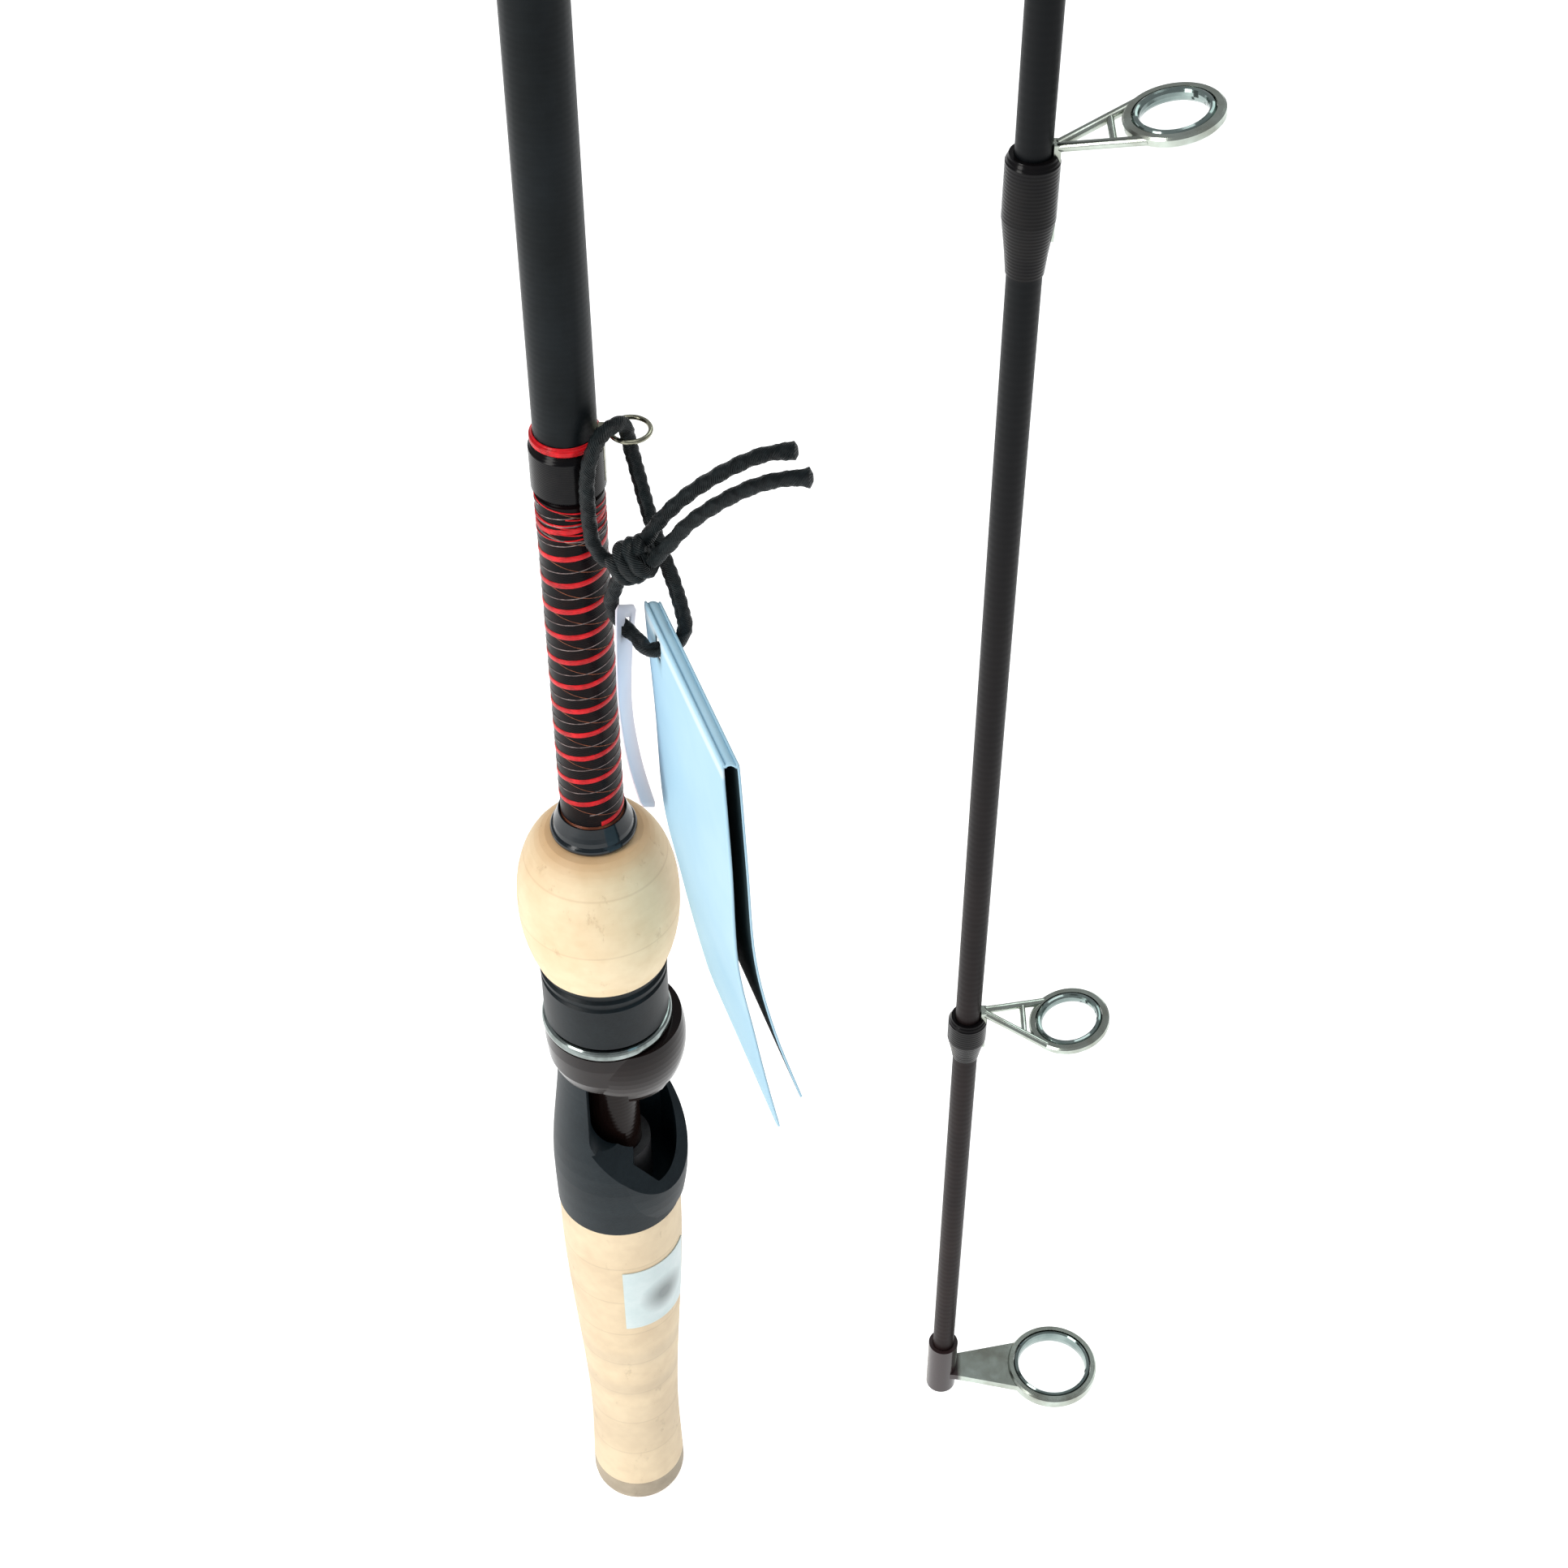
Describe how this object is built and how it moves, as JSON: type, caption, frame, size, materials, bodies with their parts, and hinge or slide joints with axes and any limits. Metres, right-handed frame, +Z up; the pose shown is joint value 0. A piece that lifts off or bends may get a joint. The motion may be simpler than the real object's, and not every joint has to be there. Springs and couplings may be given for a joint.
{
  "type": "spinning_rod",
  "caption": "Two-piece spinning rod taken apart: butt half with cork grips, reel seat and a folded hang tag on a black cord, and the slim tip half beside it, tip down.",
  "frame": {"origin": "centre of the flat butt end, on the floor", "axes": "+Z up along both halves, +X the side the reel and the line guides face, -Y the side seen in the view"},
  "size_m": [0.0957, 0.1584, 1.1785],
  "materials": {
    "blank_black": "satin",
    "dark_plastic": "matte",
    "rubber_cork": "matte",
    "cork": "matte",
    "seat_slate": "satin",
    "hood_gloss": "gloss",
    "trim_chrome": "polished",
    "collar_black": "matte",
    "check_gloss": "gloss",
    "thread_copper": "gloss",
    "wrap_black": "gloss",
    "thread_red": "gloss",
    "keeper_wire": "satin",
    "label_paper": "matte",
    "guide_steel": "polished",
    "guide_ceramic": "polished",
    "tag_blue": "gloss",
    "slip_lilac": "matte",
    "cord_braid": "satin"
  },
  "bodies": {
    "butt_half": {"butt_blank": "blank_black", "spigot_plug": "dark_plastic", "butt_cork": "rubber_cork", "rear_grip": "cork", "seat_arbors": "dark_plastic", "reel_seat": "seat_slate", "copper_band": "thread_copper", "handle_wrap": "wrap_black", "keeper_wrap": "wrap_black", "red_band": "thread_red", "hook_keeper": "keeper_wire", "label": "label_paper", "stripper_guide": "guide_steel", "stripper_ring": "guide_ceramic", "stripper_wrap": "wrap_black", "second_guide": "guide_steel", "second_ring": "guide_ceramic", "second_wrap": "wrap_black", "spigot_wrap": "wrap_black", "tag_card": "tag_blue", "tag_slip": "slip_lilac", "tag_cord": "cord_braid", "cord_knot": "cord_braid", "cord_tail_upper": "cord_braid", "cord_tail_lower": "cord_braid"},
    "hood": {"reel_hood": "hood_gloss", "hood_trim_ring": "trim_chrome"},
    "nut": {"nut_collar": "collar_black", "fore_grip": "cork", "winding_check": "check_gloss"},
    "tip_half": {"tip_blank": "blank_black", "ferrule_sleeve": "blank_black", "ferrule_wrap": "wrap_black", "tip_top": "guide_steel", "tip_top_ring": "guide_ceramic", "guide_1": "guide_steel", "guide_1_ring": "guide_ceramic", "guide_1_wrap": "wrap_black", "guide_2": "guide_steel", "guide_2_ring": "guide_ceramic", "guide_2_wrap": "wrap_black", "guide_3": "guide_steel", "guide_3_ring": "guide_ceramic", "guide_3_wrap": "wrap_black", "guide_4": "guide_steel", "guide_4_ring": "guide_ceramic", "guide_4_wrap": "wrap_black", "guide_5": "guide_steel", "guide_5_ring": "guide_ceramic", "guide_5_wrap": "wrap_black"}
  },
  "joints": [
    {"name": "hood_slide", "type": "slide", "parent": "butt_half", "child": "hood", "axis": [0, 0, 1], "range_m": [0, 0.028]},
    {"name": "nut_turn", "type": "hinge", "parent": "hood", "child": "nut", "pos_m": [0, 0, 0.175], "axis": [0, 0, 1], "range_deg": [0, 2880]},
    {"name": "tip_half_lift", "type": "slide", "parent": "butt_half", "child": "tip_half", "axis": [0, 0, 1], "range_m": [0, 0.3]}
  ],
  "couplings": [
    {"joint": "hood_slide", "follows": "nut_turn", "m_per_rad": 0.00055704}
  ]
}
